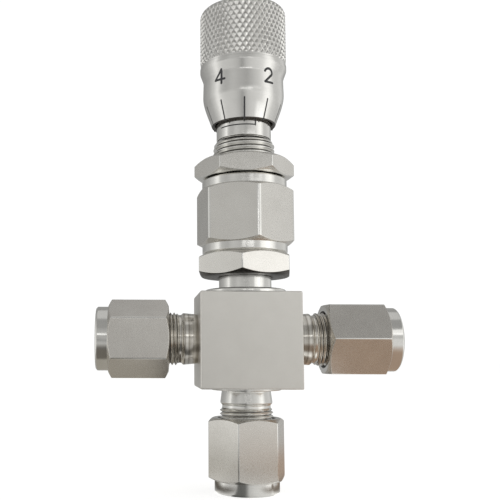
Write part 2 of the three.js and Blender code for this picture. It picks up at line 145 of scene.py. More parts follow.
def swept(angles, profile):
    """Rows of points round Z for a profile of corners [radius, height, setback].

    A radius or height is a number or one value per column. Where a setback is given, the corner is
    rounded by a curve that starts and ends that far from it.
    """
    corners = []
    for radius, height, *setback in profile:
        point = np.stack(np.broadcast_arrays(radius, height, angles)[:2], axis=1).astype(float)
        corners.append((point, setback[0] if setback else 0.0))
    rows = []
    for i, (point, setback) in enumerate(corners):
        if not setback or i in (0, len(corners) - 1):
            rows.append(point)
            continue
        ends = []
        for other in (corners[i - 1][0], corners[i + 1][0]):
            edge = other - point
            length = np.maximum(np.linalg.norm(edge, axis=1, keepdims=True), 1e-9)
            ends.append(point + edge * np.minimum(setback / length, 0.45))
        for t in np.linspace(0, 1, ARC_STEPS + 1):
            rows.append((1 - t) ** 2 * ends[0] + 2 * t * (1 - t) * point + t * t * ends[1])
    return placed_rows(angles, np.array(rows))


def placed_rows(angles, rows):
    """Points of rows of [radius, height] pairs, one pair per column."""
    radius, height = rows[..., 0], rows[..., 1]
    return np.stack([radius * np.sin(angles), -radius * np.cos(angles), height], axis=-1)


def helical(angles, thread, low, high, start_low, start_high, slope=1.0):
    """Rows that follow a right-hand thread.

    At its two ends its radius is cut down to start_low and start_high, and grows by slope from there.
    """
    pitch = thread["pitch"]
    count = (math.ceil((high - low) / pitch) + 2) * THREAD_ROWS + 1
    step = np.arange(count)[:, None]
    height = np.clip(low - pitch + pitch * (step / THREAD_ROWS + angles / (2 * math.pi)), low, high)
    phase = step % THREAD_ROWS / THREAD_ROWS
    slant = np.abs(2 * phase - 1)  # 1 on the crest, 0 in the root
    form = np.clip(slant * 1.3 - 0.12, 0, 1)  # flat lands on the crest and in the root
    radius = thread["root"] + (thread["crest"] - thread["root"]) * form
    radius = np.minimum(radius, start_low + (height - low) * slope)
    radius = np.minimum(radius, start_high + (high - height) * slope)
    return placed_rows(angles, np.stack([radius, height], axis=-1))


def strip_faces(rows, columns, climb=0):
    """Quads between neighbouring rows. Across the seam a row meets the one that is climb rows higher."""
    i, j = np.meshgrid(np.arange(rows - 1), np.arange(columns), indexing="ij")
    lift = np.where(j == columns - 1, climb, 0)
    inside = i + 1 + lift < rows
    right = (j + 1) % columns
    corners = [i * columns + j, (i + lift) * columns + right, (i + 1 + lift) * columns + right]
    corners.append((i + 1) * columns + j)
    return np.stack(corners, axis=-1)[inside]


def mesh_of(strips):
    """One welded mesh, in millimetres, of strips (points by row and column, climb of the seam)."""
    points, faces, first = [], [], 0
    for rows, climb in strips:
        count, columns = rows.shape[:2]
        points.append(rows.reshape(-1, 3))
        faces.append(strip_faces(count, columns, climb) + first)
        first += count * columns
    mesh = bpy.data.meshes.new("skin")
    mesh.from_pydata(np.concatenate(points).tolist(), [], np.concatenate(faces).tolist())
    return welded(mesh)


def welded(mesh):
    """The mesh with coincident points merged, the axis points closed and the faces turned outwards."""
    bm = bmesh.new()
    bm.from_mesh(mesh)
    bmesh.ops.remove_doubles(bm, verts=bm.verts, dist=1e-4)
    bmesh.ops.dissolve_degenerate(bm, edges=bm.edges, dist=1e-5)
    bmesh.ops.recalc_face_normals(bm, faces=bm.faces)
    bm.to_mesh(mesh)
    bm.free()
    return mesh


def closed_strip(angles, profile):
    """A strip whose profile comes back to its first corner."""
    return swept(angles, [*profile, profile[0][:2]]), 0


def combined(base, tools, operation):
    """base joined with or cut by the tools, as a new mesh."""
    body = bpy.data.objects.new("body", base)
    bpy.context.scene.collection.objects.link(body)
    helpers = []
    for tool in tools:
        helper = bpy.data.objects.new("tool", tool)
        bpy.context.scene.collection.objects.link(helper)
        helpers.append(helper)
        step = body.modifiers.new("combine", "BOOLEAN")
        step.operation = operation
        step.solver = "MANIFOLD"
        step.object = helper
    bpy.context.view_layer.update()
    result = bpy.data.meshes.new_from_object(body.evaluated_get(bpy.context.evaluated_depsgraph_get()))
    for obj in (body, *helpers):
        bpy.data.objects.remove(obj)
    return result


def piece(name, mesh, body, slot, nodes=(), turn=UPRIGHT, regions=()):
    """Puts a mesh in millimetres into the scene as a piece that rides on a body.

    regions lists the parts of it with a finish of their own: finish, turn and a test of a face.
    """
    mesh.materials.clear()
    mesh.materials.append(MATERIALS[slot](turn))
    for finish, region_turn, holds in regions:
        mesh.materials.append(MATERIALS[finish](region_turn))
        for face in mesh.polygons:
            if holds(face):
                face.material_index = len(mesh.materials) - 1
    mesh.transform(Matrix.Translation(CROSSING) @ turn @ Matrix.Scale(MM, 4))
    mesh.name = name
    mesh.polygons.foreach_set("use_smooth", [True] * len(mesh.polygons))
    mesh.set_sharp_from_angle(angle=math.radians(SHARP_DEGREES))
    obj = bpy.data.objects.new(name, mesh)
    bpy.context.scene.collection.objects.link(obj)
    normals = obj.modifiers.new("even_flats", "WEIGHTED_NORMAL")
    normals.mode = "FACE_AREA"
    normals.keep_sharp = True
    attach(obj, body)
    if nodes:
        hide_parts(*nodes)
    return obj


def within(radius):
    """A test that holds for faces nearer than radius to a piece's axis."""
    return lambda face: math.hypot(face.center.x, face.center.y) < radius


def hex_edges(across_flats, fillet):
    """A test that holds for the rounded corners between a hexagon's flats."""
    rounded_share = 0.88  # of the fillet's radius, where its curve meets the flats
    least = (across_flats / 2 - fillet) / math.cos(math.pi / 6) + rounded_share * fillet
    return lambda face: math.hypot(face.center.x, face.center.y) > least


def thread_root(thread, low, high, turn=UPRIGHT):
    """A test that holds for the faces at the bottom of a thread's groove."""
    sink = 0.1  # a face's middle lies this far inside the root's radius at the most
    root_share = 0.12  # of the thread's depth
    depth = thread["crest"] - thread["root"]
    inverse = turn.inverted()

    def holds(face):
        place = inverse @ face.center
        rise = math.hypot(place.x, place.y) - thread["root"]
        return low < place.z < high and -sink < rise < root_share * depth

    return holds


# ---- Materials ----


class Tree:
    """The node tree of a material or a world, with short calls for the nodes that are used often."""

    def __init__(self, owner):
        owner.use_nodes = True
        self.owner = owner
        self.nodes = owner.node_tree.nodes
        self.links = owner.node_tree.links
        self.shader = self.nodes.get("Principled BSDF") or self.nodes["Background"]

    def node(self, kind, values=(), **settings):
        made = self.nodes.new(kind)
        for key, value in settings.items():
            setattr(made, key, value)
        for socket, value in values:
            self.feed(made.inputs[socket], value)
        return made

    def feed(self, socket, value):
        if isinstance(value, bpy.types.NodeSocket):
            self.links.new(value, socket)
        else:
            socket.default_value = value

    def math(self, operation, *values):
        made = self.node("ShaderNodeMath", operation=operation)
        for socket, value in zip(made.inputs, values):
            self.feed(socket, value)
        return made.outputs[0]

    def noise(self, vector, scale, detail=2.0, rough=0.5):
        values = [("Vector", vector), ("Scale", scale), ("Detail", detail), ("Roughness", rough)]
        return self.node("ShaderNodeTexNoise", values).outputs["Fac"]

    def ramp(self, value, low, high, out_low, out_high):
        values = [("Value", value), ("From Min", low), ("From Max", high)]
        values += [("To Min", out_low), ("To Max", out_high)]
        return self.node("ShaderNodeMapRange", values).outputs["Result"]

    def stops(self, degrees, stops):
        """A grey level that runs smoothly through [degrees, level] stops."""
        low, high = stops[0][0], stops[-1][0]
        made = self.node("ShaderNodeValToRGB", [(0, self.ramp(degrees, low, high, 0, 1))])
        made.color_ramp.interpolation = "EASE"
        while len(made.color_ramp.elements) < len(stops):
            made.color_ramp.elements.new(1.0)
        for element, (place, level) in zip(made.color_ramp.elements, stops):
            element.position = (place - low) / (high - low)
            element.color = (level, level, level * 0.985, 1.0)
        return made.outputs["Color"]

    def azimuth(self, vector):
        """Degrees from the front towards the right of a direction or a place, and its other parts."""
        parts = self.node("ShaderNodeSeparateXYZ", [("Vector", vector)]).outputs
        front = self.math("MULTIPLY", parts["Y"], -1.0)
        turn = self.math("ARCTAN2", parts["X"], front)
        return self.math("DEGREES", turn), parts

    def mix(self, factor, first, second):
        made = self.node("ShaderNodeMix", data_type="RGBA")
        self.feed(made.inputs["Factor"], factor)
        self.feed(made.inputs["A"], first)
        self.feed(made.inputs["B"], second)
        return made.outputs["Result"]

    def bump(self, height, strength, distance, normal=None):
        values = [("Height", height), ("Strength", strength), ("Distance", distance)]
        if normal:
            values.append(("Normal", normal))
        return self.node("ShaderNodeBump", values).outputs["Normal"]


def colour(red, green, blue):
    """An opaque colour, in linear light."""
    return (red, green, blue, 1.0)


def lathe_coordinates(tree, turn):
    """Place along a piece's own axis and distance from it, in millimetres from the crossing."""
    place = tree.node("ShaderNodeTexCoord").outputs["Object"]
    inverse = (Matrix.Translation(CROSSING) @ turn).inverted()
    moved = tree.node(
        "ShaderNodeMapping",
        [("Vector", place), ("Location", inverse.translation / MM), ("Rotation", inverse.to_euler())],
    )
    moved.inputs["Scale"].default_value = (1 / MM, 1 / MM, 1 / MM)
    parts = tree.node("ShaderNodeSeparateXYZ", [("Vector", moved.outputs["Vector"])])
    x, y, along = parts.outputs
    squares = tree.math("ADD", tree.math("MULTIPLY", x, x), tree.math("MULTIPLY", y, y))
    return moved.outputs["Vector"], along, tree.math("SQRT", squares)


def steel(
    name,
    light,
    dark,
    roughness,
    spread,
    rings=0.0,
    grain=0.0,
    anisotropy=0.0,
    rings_per_mm=5.5,
    ring_tone=0.0,
):
    """A stainless finish: lathe rings, a fine grain, clouded tone and uneven roughness.

    light and dark bound its tone, and spread is how far the roughness wanders. rings and grain are
    the depths of the turning marks and of the fine grain, in millimetres. ring_tone is how far single
    turning marks are darker or lighter than the rest. The result makes the material for a piece's turn.
    """
    made = {}

    def finish(turn):
        key = tuple(round(v, 3) for row in turn for v in row)
        if key in made:
            return made[key]
        tree = Tree(bpy.data.materials.new(name if not made else f"{name}_{len(made)}"))
        place, along, radius = lathe_coordinates(tree, turn)
        ring_place = tree.node("ShaderNodeCombineXYZ", [("X", along), ("Y", radius)]).outputs["Vector"]
        fine_rings = tree.noise(ring_place, rings_per_mm, 3.0, 0.65)
        broad_rings = tree.noise(ring_place, 0.9, 1.0)
        clouds = tree.noise(place, 0.22, 3.0, 0.55)
        speckle = tree.noise(place, 4.2, 4.0, 0.6)
        ring_share, cloud_share = 0.75 if rings else 0.0, 0.6
        speckle_share = 0.4 if grain else 0.1
        tone = tree.math("MULTIPLY", clouds, cloud_share)
        tone = tree.math("MULTIPLY_ADD", fine_rings, ring_share / 2, tone)
        tone = tree.math("MULTIPLY_ADD", speckle, speckle_share, tone)
        if ring_tone:
            tone = tree.math("MULTIPLY_ADD", tree.math("SUBTRACT", fine_rings, 0.5), ring_tone, tone)
        tone = tree.ramp(tone, 0.3, 0.75, 0, 1)
        tree.feed(tree.shader.inputs["Base Color"], tree.mix(tone, dark, light))
        wander = tree.math("ADD", tree.math("MULTIPLY", broad_rings, ring_share), speckle)
        rough = tree.ramp(wander, 0.35, 1.3 if rings else 0.7, roughness - spread, roughness + spread)
        tree.feed(tree.shader.inputs["Roughness"], rough)
        normal = tree.bump(fine_rings, 1.0, rings * MM) if rings else None
        if grain:
            normal = tree.bump(tree.noise(place, 6.5, 4.0, 0.7), 1.0, grain * MM, normal)
        if normal:
            tree.feed(tree.shader.inputs["Normal"], normal)
        tree.shader.inputs["Metallic"].default_value = 1.0
        tree.shader.inputs["Anisotropic"].default_value = anisotropy
        if anisotropy:
            tangent = tree.node("ShaderNodeTangent", direction_type="RADIAL", axis="Z")
            tree.feed(tree.shader.inputs["Tangent"], tangent.outputs[0])
        made[key] = tree.owner
        return tree.owner

    return finish


def plastic(name, light, dark, roughness):
    """A matt, slightly uneven non-metal, in a material that all its pieces share."""
    made = []

    def finish(_turn):
        if not made:
            tree = Tree(bpy.data.materials.new(name))
            place = tree.node("ShaderNodeTexCoord").outputs["Object"]
            clouds = tree.noise(place, 900.0, 3.0)
            tree.feed(tree.shader.inputs["Base Color"], tree.mix(clouds, dark, light))
            rough = tree.ramp(clouds, 0.2, 0.8, roughness, roughness + 0.2)
            tree.feed(tree.shader.inputs["Roughness"], rough)
            tree.feed(tree.shader.inputs["Normal"], tree.bump(clouds, 1.0, 0.004 * MM))
            made.append(tree.owner)
        return made[0]

    return finish


def steels(*recipes):
    """Steel finishes by name, from recipes."""
    return {name: steel(name, *tones, *surface, **marks) for name, tones, surface, marks in recipes}


# Each recipe: name, light and dark tone, roughness and its spread, marks.
MATERIALS = steels(
    (
        "block_steel",
        (colour(0.84, 0.82, 0.775), colour(0.78, 0.76, 0.715)),
        (0.40, 0.05),
        {"grain": 0.002},
    ),
    (
        "nut_steel",
        (colour(0.82, 0.80, 0.76), colour(0.72, 0.70, 0.66)),
        (0.30, 0.06),
        {"grain": 0.0013},
    ),
    (
        "warm_nut_steel",
        (colour(0.78, 0.755, 0.71), colour(0.66, 0.63, 0.59)),
        (0.30, 0.06),
        {"grain": 0.0022},
    ),
    (
        "turned_steel",
        (colour(0.86, 0.85, 0.82), colour(0.75, 0.74, 0.71)),
        (0.15, 0.05),
        {"rings": 0.003},
    ),
    (
        "neck_steel",
        (colour(0.92, 0.89, 0.83), colour(0.36, 0.33, 0.285)),
        (0.15, 0.05),
        {"rings": 0.012, "rings_per_mm": 2.0, "ring_tone": 1.8},
    ),
    # Painted shade: a dark steel laid on thread roots, bores, the thimble rim's underside and the lock nut's
    # underside, where shade falls.
    (
        "painted_shade_steel",
        (colour(0.17, 0.16, 0.15), colour(0.08, 0.076, 0.072)),
        (0.38, 0.1),
        {"grain": 0.002},
    ),
    (
        "thimble_steel",
        (colour(0.82, 0.81, 0.785), colour(0.72, 0.71, 0.685)),
        (0.2, 0.06),
        {"rings": 0.004, "anisotropy": 0.3},
    ),
    (
        "dark_screw_steel",
        (colour(0.22, 0.21, 0.20), colour(0.12, 0.115, 0.11)),
        (0.38, 0.1),
        {"grain": 0.004},
    ),
)
MATERIALS["ptfe"] = plastic("ptfe", colour(0.93, 0.92, 0.89), colour(0.86, 0.85, 0.81), 0.42)
MATERIALS["marking_ink"] = plastic("marking_ink", colour(0.07, 0.07, 0.073), colour(0.04, 0.04, 0.043), 0.5)

# ---- Hexagons ----


def hex_corners(across_flats, radius, low, high):
    """Outer corners of a hexagon whose two ends are chamfered down to a circle."""
    face = HEX_END_SHARE * across_flats
    rise = (radius - face) * math.tan(HEX_CHAMFER)
    return [
        (face, low, 0.05),
        (radius, low + rise, 0.12),
        (radius, high - rise, 0.12),
        (face, high, 0.05),
    ]


def bore_corners(radius, low, high):
    """Corners of a through bore with countersunk mouths, from the top down."""
    return [
        (radius + COUNTERSINK, high, 0.04),
        (radius, high - COUNTERSINK, 0.04),
        (radius, low + COUNTERSINK, 0.04),
        (radius + COUNTERSINK, low, 0.04),
    ]


def plain_hex_nut(node, corner, thread, underside):
    """A thin nut of the bonnet's size, whose lower end gets the underside material: painted shade on the lock nut,
    the turned finish on the panel nut.
    """
    low, high = span(node)
    angles, radius = hexagon(BONNET_FLATS, corner, NUT_FILLET)
    outside = hex_corners(BONNET_FLATS, radius, low, high)
    inside = bore_corners(thread["crest"] + THREAD_CLEARANCE, low, high)
    mesh = mesh_of([closed_strip(angles, outside + inside)])
    regions = [
        ("turned_steel", UPRIGHT, hex_edges(BONNET_FLATS, NUT_FILLET)),
        ("turned_steel", UPRIGHT, within(HEX_COLLAR_SHARE * BONNET_FLATS)),
        # Downward faces: painted shade on the lock nut.
        (underside, UPRIGHT, lambda face: face.normal.z < -0.4),
    ]
    piece(f"{node}_form", mesh, "valve_body", "nut_steel", [node], regions=regions)


# ---- The block and its necks ----


def neck_shell(bossed):
    """One fitting's neck, as a closed shell that starts inside the block."""
    angles = circle(NECK_COLUMNS)
    below = [(0, NECK_FOOT), (SHANK_FOOT, NECK_FOOT), (SHANK_FOOT, BLOCK_HIGH - 0.01)]
    if bossed:
        boss_face = BOTTOM_BOSS_HEIGHT - BLOCK_LOW
        below = [
            (0, NECK_FOOT),
            (BOTTOM_BOSS_RADIUS, NECK_FOOT),
            (BOTTOM_BOSS_RADIUS, boss_face, 0.2),
            (SHANK_FOOT, boss_face, 0.25),
        ]
    outside = below + [
        (SHANK_RIM, SHANK_END - 0.4, 0.2),
        (GROOVE_RADIUS, SHANK_END, 0.12),
        (GROOVE_RADIUS, FITTING_THREAD_LOW),
    ]
    inside = [
        (FITTING_TIP_RADIUS, FITTING_END),
        (MOUTH_RADIUS, FITTING_END, 0.08),
        (SOCKET_RADIUS + 0.1, FITTING_END - MOUTH_DEPTH, 0.05),
        (SOCKET_RADIUS, FITTING_END - MOUTH_DEPTH, 0.05),
        (SOCKET_RADIUS, SOCKET_FLOOR, 0.1),
        (RUN_RADIUS, SOCKET_FLOOR, 0.06),
        (RUN_RADIUS, RUN_FLOOR),
        (0, RUN_FLOOR),
    ]
    ends = (GROOVE_RADIUS, FITTING_TIP_RADIUS)
    thread = helical(angles, FITTING_THREAD, FITTING_THREAD_LOW, FITTING_END, *ends)
    return mesh_of([(swept(angles, outside), 0), (thread, THREAD_ROWS), (swept(angles, inside), 0)])


def top_neck_shell():
    """The packing neck below the lock nut, with the turned boss on the block's top."""
    radius, top = FITTING_THREAD["crest"], 26.5
    chamber_radius, chamber_floor = 3.6, 18.0
    profile = [
        (0, NECK_FOOT),
        (TOP_BOSS_RADIUS, NECK_FOOT),
        (TOP_BOSS_RADIUS, BLOCK_HIGH + TOP_BOSS_HEIGHT, 0.5),
        (radius, BLOCK_HIGH + TOP_BOSS_HEIGHT, 0.3),
        (radius, top - 0.4),
        (radius - 0.35, top),
        (chamber_radius, top),
        (chamber_radius, chamber_floor),
        (0, chamber_floor),
    ]
    return mesh_of([(swept(circle(NECK_COLUMNS), profile), 0)])


def block_shell():
    """The square block with rounded edges."""
    mesh = bpy.data.meshes.new("block")
    bm = bmesh.new()
    bmesh.ops.create_cube(bm, size=1.0)
    size = Matrix.Diagonal((BLOCK_WIDTH, BLOCK_DEPTH, BLOCK_HIGH - BLOCK_LOW, 1.0))
    centre = Matrix.Translation((0, 0, (BLOCK_HIGH + BLOCK_LOW) / 2))
    bmesh.ops.transform(bm, matrix=centre @ size, verts=bm.verts)
    bmesh.ops.bevel(bm, geom=bm.edges, offset=BLOCK_EDGE, segments=3, profile=0.6, affect="EDGES")
    bm.to_mesh(mesh)
    bm.free()
    return mesh


def build_block():
    """The block with its four necks, in one mesh, with a finish for each."""
    necks = [top_neck_shell()]
    for side, port in PORTS.items():
        neck = neck_shell(bossed=side == "bottom")
        neck.transform(port["turn"])
        necks.append(neck)
    half = BLOCK_WIDTH / 2 + 0.005  # just outside the block's sides
    regions = [
        ("neck_steel", PORTS["left"]["turn"], lambda face: face.center.x < -half),
        ("neck_steel", PORTS["right"]["turn"], lambda face: face.center.x > half),
        ("turned_steel", UPRIGHT, lambda face: not BLOCK_LOW <= face.center.z <= BLOCK_HIGH),
    ]
    # Painted shade in the roots of the fitting threads on the three port necks.
    for port in PORTS.values():
        root = thread_root(FITTING_THREAD, FITTING_THREAD_LOW + 0.1, FITTING_END, port["turn"])
        regions.append(("painted_shade_steel", port["turn"], root))
    mesh = combined(block_shell(), necks, "UNION")
    piece("block_and_necks", mesh, "valve_body", "block_steel", ["body_block"], regions=regions)


# ---- Tube fittings ----


def build_tube_nut(side, port):
    """A hexagon nut with a turned collar; inside, its thread's bore, the ferrules' room and their cone."""
    angles, radius = hexagon(TUBE_NUT_FLATS, port["corner"], NUT_FILLET)
    hexed = hex_corners(TUBE_NUT_FLATS, radius, TUBE_NUT_LOW, TUBE_NUT_SHOULDER)
    chamber, chamber_low, cone_low, cone_high = 4.95, 25.0, 27.25, 28.5
    bore = FITTING_THREAD["crest"] + THREAD_CLEARANCE
    profile = [
        *hexed,
        (TUBE_NUT_COLLAR, TUBE_NUT_SHOULDER, 0.08),
        (TUBE_NUT_COLLAR, TUBE_NUT_HIGH - 0.35, 0.12),
        (TUBE_NUT_COLLAR - 0.35, TUBE_NUT_HIGH, 0.12),
        (TUBE_HOLE + 0.35, TUBE_NUT_HIGH, 0.1),
        (TUBE_HOLE, TUBE_NUT_HIGH - 0.35, 0.1),
        (TUBE_HOLE, cone_high),
        (chamber, cone_low),
        (chamber, chamber_low),
        (bore, chamber_low),
        (bore, TUBE_NUT_LOW + COUNTERSINK, 0.05),
        (bore + COUNTERSINK, TUBE_NUT_LOW, 0.05),
    ]
    mesh = mesh_of([closed_strip(angles, profile)])
    near_bore = within(bore + 0.3)
    turn = port["turn"]
    regions = [
        ("turned_steel", turn, hex_edges(TUBE_NUT_FLATS, NUT_FILLET)),
        ("turned_steel", turn, within(HEX_COLLAR_SHARE * TUBE_NUT_FLATS)),
        # Painted shade in the bore and countersink below the ferrules' room.
        ("painted_shade_steel", turn, lambda face: face.center.z < chamber_low and near_bore(face)),
    ]
    name, node = f"nut_form_{side}", f"tube_nut_{side}"
    piece(name, mesh, f"nut_{side}", port["finish"], [node], turn, regions=regions)


# ---- Bonnet stack ----


def build_union_nut():
    """The long hexagon nut with a turned collar at both ends, over the bonnet's flange."""
    angles, radius = hexagon(BONNET_FLATS, UNION_CORNER, UNION_FILLET)
    collar = UNION_COLLAR
    outside = [
        (collar - 0.3, UNION_LOW, 0.08),
        (collar, UNION_LOW + 0.3, 0.08),
        (collar, UNION_HEX_LOW + 0.02),
        *hex_corners(BONNET_FLATS, radius, UNION_HEX_LOW, UNION_HEX_HIGH),
        (collar, UNION_HEX_HIGH - 0.02),
        (collar, UNION_HIGH - 0.3, 0.08),
        (collar - 0.3, UNION_HIGH, 0.08),
    ]
    bonnet_bore = BONNET_THREAD["crest"] + THREAD_CLEARANCE
    neck_bore = FITTING_THREAD["crest"] + THREAD_CLEARANCE
    room, room_low, room_high = 7.5, 26.0, 30.3
    inside = [
        (bonnet_bore, UNION_HIGH, 0.08),
        (bonnet_bore, room_high),
        (room, room_high),
        (room, room_low),
        (neck_bore, room_low - 0.6),
        (neck_bore, UNION_LOW + COUNTERSINK),
        (neck_bore + COUNTERSINK, UNION_LOW),
    ]
    mesh = mesh_of([closed_strip(angles, outside + inside)])
    regions = [
        ("turned_steel", UPRIGHT, within(UNION_COLLAR + 0.1)),
        ("turned_steel", UPRIGHT, hex_edges(BONNET_FLATS, UNION_FILLET)),
    ]
    piece("union_nut_form", mesh, "valve_body", "nut_steel", ["union_nut"], regions=regions)


def build_bonnet():
    """The flanged and threaded bonnet, with the spigot that holds the sleeve."""
    angles = circle(BONNET_COLUMNS)
    low, thread_low = 28.1, 31.8
    root, tip = BONNET_THREAD["root"] - 0.1, 5.7
    flange, flange_high = 7.35, 30.2
    spigot, spigot_high = 4.6, 52.8
    bore, counterbore, counterbore_high = 3.06, 3.9, 36.0
    lower = [
        (counterbore, low),
        (flange, low),
        (flange, flange_high),
        (root, flange_high),
        (root, thread_low),
    ]
    upper = [
        (tip, BONNET_HIGH),
        (spigot, BONNET_HIGH),
        (spigot, spigot_high),
        (bore, spigot_high),
        (bore, counterbore_high),
        (counterbore, counterbore_high),
        (counterbore, low),
    ]
    thread = helical(angles, BONNET_THREAD, thread_low, BONNET_HIGH, root, tip, slope=0.75)
    mesh = mesh_of([(swept(angles, lower), 0), (thread, THREAD_ROWS), (swept(angles, upper), 0)])
    # Painted shade in the roots of the bonnet's thread.
    regions = [("painted_shade_steel", UPRIGHT, thread_root(BONNET_THREAD, thread_low, BONNET_HIGH))]
    piece("bonnet_form", mesh, "valve_body", "turned_steel", ["bonnet"], regions=regions)


def build_sleeve():
    """The fixed sleeve with its level zero line and upright index line."""
    inner = 4.66
    profile = [
        (inner, SLEEVE_LOW),
        (SLEEVE_RADIUS, SLEEVE_LOW, 0.15),
        (SLEEVE_RADIUS, SLEEVE_HIGH, 0.15),
        (inner, SLEEVE_HIGH),
    ]
    mesh = mesh_of([closed_strip(circle(BONNET_COLUMNS), profile)])
    zero, index = SLEEVE_ZERO_HEIGHT, math.radians(SLEEVE_INDEX)
    level_span, upright_height = math.radians(78), 5.5
    level = np.stack([np.linspace(index - level_span, index, 40), np.full(40, zero)], axis=1)
    upright = np.stack([np.full(20, index), np.linspace(zero - 0.1, zero + upright_height, 20)], axis=1)
    marks = [(level, LEVEL_STROKE), (upright, UPRIGHT_STROKE)]

    def surface(height):
        return np.full_like(height, SLEEVE_RADIUS)

    mesh = engraved(mesh, marks, surface, "sleeve_marks", "valve_body")
    piece("sleeve_form", mesh, "valve_body", "turned_steel", ["graduated_sleeve"])


# ---- Engraved marks ----

ENGRAVED_DEPTH = 0.12
PAINT_LEVEL = 0.03  # how far the paint lies below the metal
NUMERAL_HEIGHT, NUMERAL_WIDTH, NUMERAL_STROKE = 2.95, 3.3, 0.5
LINE_STROKE, LEVEL_STROKE, UPRIGHT_STROKE = 0.34, 0.26, 0.3


def arc(across, up, radius, start, end, squash=1.0):
    """Points of an arc from start to end, in degrees from the right, counterclockwise."""
    turn = np.radians(np.linspace(start, end, 2 + int(abs(end - start) / 12)))
    return np.stack([across + radius * np.cos(turn), up + radius * squash * np.sin(turn)], axis=1)


def line(*points):
    """Points every so often along a chain of straight lines."""
    steps = [np.linspace(a, b, 7)[:-1] for a, b in zip(points, points[1:])]
    return np.concatenate([*steps, [points[-1]]])


# Strokes of each numeral, one unit high, centred across. A stroke ends at each sharp corner.
NUMERALS = {
    0: [arc(0, 0.5, 0.29, 0, 360, 1.72)],
    2: [
        np.concatenate([arc(0.0, 0.71, 0.28, 165, -25), [(-0.28, 0.0)]]),
        line((-0.28, 0.0), (0.31, 0.0)),
    ],
    4: [
        line((0.14, 1.0), (-0.34, 0.3)),
        line((-0.34, 0.3), (0.36, 0.3)),
        line((0.14, 1.0), (0.14, 0.0)),
    ],
    6: [np.concatenate([arc(0.42, 0.42, 0.71, 122, 176), arc(0.0, 0.3, 0.29, 165, 525)])],
    8: [arc(0, 0.76, 0.235, 0, 360), arc(0, 0.27, 0.285, 0, 360)],
}


def channel(path, width, surface, low, high):
    """A closed ribbon along a path of [angle, height] points, from low to high above the surface.

    Its ends are rounded, unless the path comes back to its first point.
    """
    radius = surface(path[:, 1])
    flat = np.stack([path[:, 0] * radius, path[:, 1]], axis=1)
    along = np.gradient(flat, axis=0)
    along /= np.maximum(np.linalg.norm(along, axis=1, keepdims=True), 1e-9)
    loop = np.linalg.norm(flat[0] - flat[-1]) < 1e-6
    half = np.full(len(flat), width / 2)
    if loop:
        along[0] = along[-1] = (along[0] + along[-1]) / np.linalg.norm(along[0] + along[-1])
    else:
        cap = np.radians([90, 60, 30])
        lead, taper = np.sin(cap), np.cos(cap)
        before = flat[0] - along[0] * (lead[:, None] * width / 2)
        after = flat[-1] + along[-1] * (lead[::-1, None] * width / 2)
        flat = np.concatenate([before, flat, after])
        along = np.concatenate([along[[0, 0, 0]], along, along[[-1, -1, -1]]])
        half = np.concatenate([taper * width / 2, half, taper[::-1] * width / 2])
    aside = np.stack([-along[:, 1], along[:, 0]], axis=1) * half[:, None]
    corners = []
    for side, level in ((aside, high), (-aside, high), (-aside, low), (aside, low)):
        place = flat + side
        ring = surface(place[:, 1]) + level
        angle = place[:, 0] / surface(flat[:, 1])
        corners.append(np.stack([ring * np.sin(angle), -ring * np.cos(angle), place[:, 1]], axis=1))
    return mesh_of([(np.stack(corners, axis=1), 0)])


def numeral_paths(digit, angle, middle, surface):
    """The strokes of a numeral on a round surface, as [angle, height] points."""
    for stroke in NUMERALS[digit]:
        across = stroke[:, 0] * NUMERAL_WIDTH / surface(middle)
        up = middle + (stroke[:, 1] - 0.5) * NUMERAL_HEIGHT
        yield np.stack([angle + across, up], axis=1)


def engraved(mesh, marks, surface, name, body):
    """mesh with its marks cut in; the paint in them becomes a piece of its own."""
    above = 0.2
    cuts = [channel(path, width, surface, -ENGRAVED_DEPTH, above) for path, width in marks]
    result = combined(mesh, cuts, "DIFFERENCE")
    paint = bmesh.new()
    for path, width in marks:
        fill = channel(path, width + 0.01, surface, -ENGRAVED_DEPTH - 0.02, -PAINT_LEVEL)
        paint.from_mesh(fill)
    filled = bpy.data.meshes.new(name)
    paint.to_mesh(filled)
    paint.free()
    piece(name, filled, body, "marking_ink")
    return result


# ---- Thimble ----

KNURL_COUNT, KNURL_PITCH, KNURL_DEPTH = 46, 2.0, 0.4
KNURL_STEPS = 8  # columns in one diamond
SCALE_STEP, SCALE_TWO = -36.0, 30.0  # degrees from one line to the next, and the place of line 2
SCALE_DIVISIONS = 10
LINE_LOW, LINE_HIGH, NUMERAL_MIDDLE = 45.6, 49.6, 54.5
LAND_RADIUS = 9.1  # the groove below the knurl


def knurl_rows(angles):
    """The grip's diamond knurl, cut down by the rounded crown at its top and a bevel at its foot."""
    rise = KNURL_PITCH / KNURL_STEPS
    levels = math.ceil((THIMBLE_HIGH - KNURL_LOW) / rise)
    height = KNURL_LOW + np.arange(levels + 1)[:, None] * (THIMBLE_HIGH - KNURL_LOW) / levels
    across = KNURL_COUNT * angles / (2 * math.pi)
    up = (height - KNURL_LOW) / KNURL_PITCH
    first = np.abs((across + up) % 1 - 0.5) * 2
    second = np.abs((across - up) % 1 - 0.5) * 2
    land = 0.86  # a diamond's tip is cut off at this share of its height
    tooth = np.minimum(1 - np.maximum(first, second), land) / land
    radius = GRIP_RADIUS - KNURL_DEPTH * (1 - tooth)
    crown = np.clip((height - KNURL_HIGH) / (THIMBLE_HIGH - KNURL_HIGH), 0, 1)
    top = GRIP_RADIUS - (GRIP_RADIUS - CROWN_RADIUS) * (1 - np.sqrt(1 - crown**2 * 0.96))
    radius = np.minimum(radius, top)
    bevel = 0.25
    foot = GRIP_RADIUS - bevel + (height - KNURL_LOW)
    radius = np.minimum(radius, foot)
    return placed_rows(angles, np.stack(np.broadcast_arrays(radius, height), axis=-1))


